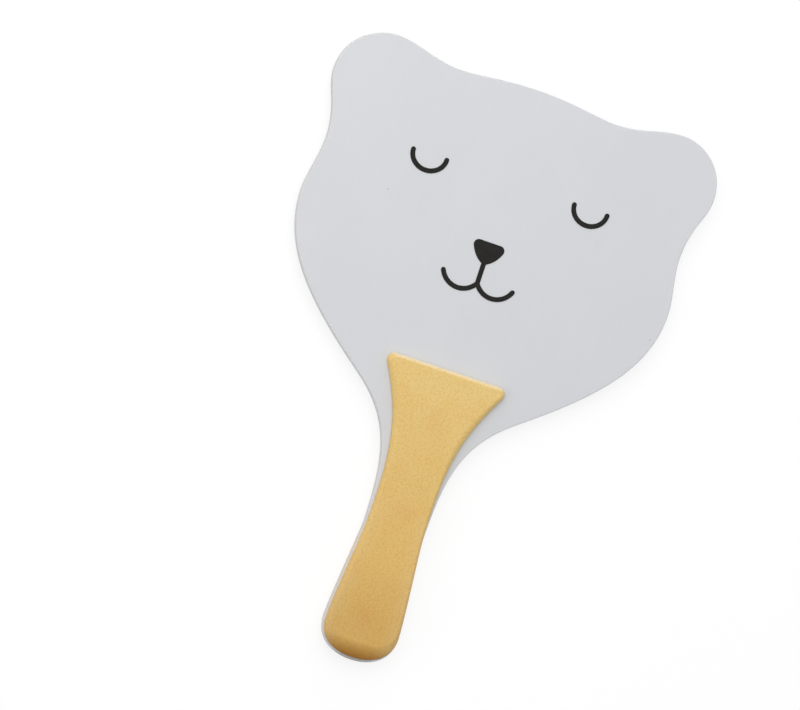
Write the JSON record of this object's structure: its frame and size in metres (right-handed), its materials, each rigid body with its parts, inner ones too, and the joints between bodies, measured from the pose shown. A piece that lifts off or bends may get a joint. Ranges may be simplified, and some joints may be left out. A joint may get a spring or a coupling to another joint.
{
  "type": "beach game paddle",
  "caption": "Child's beach paddle: a thin painted plywood board cut as a bear's head on a handle, a sleeping face printed on its front and a foam grip pad on each side of the handle.",
  "frame": {"origin": "under the middle of the paddle, level with the flat outer face of the back grip pad", "axes": "+Y from the handle's end towards the ears, +Z out of the printed face, +X to the right seen from the front with the ears up"},
  "size_m": [0.2246, 0.33, 0.0152],
  "materials": {
    "painted_veneer": "pale grey satin paint over veneer",
    "inner_ply": "raw poplar veneer, painted over at its edges",
    "grip_foam": "yellow closed-cell foam with a fine leathery grain",
    "adhesive_film": "pale double-sided adhesive film",
    "dark_ink": "matte dark print"
  },
  "bodies": {
    "root": {"front_face_veneer": "painted_veneer", "front_crossband": "inner_ply", "core_ply": "inner_ply", "back_crossband": "inner_ply", "back_face_veneer": "painted_veneer", "front_grip_pad": "grip_foam", "back_grip_pad": "grip_foam", "front_grip_adhesive": "adhesive_film", "back_grip_adhesive": "adhesive_film", "left_eye_print": "dark_ink", "right_eye_print": "dark_ink", "nose_and_mouth_print": "dark_ink"}
  },
  "joints": []
}
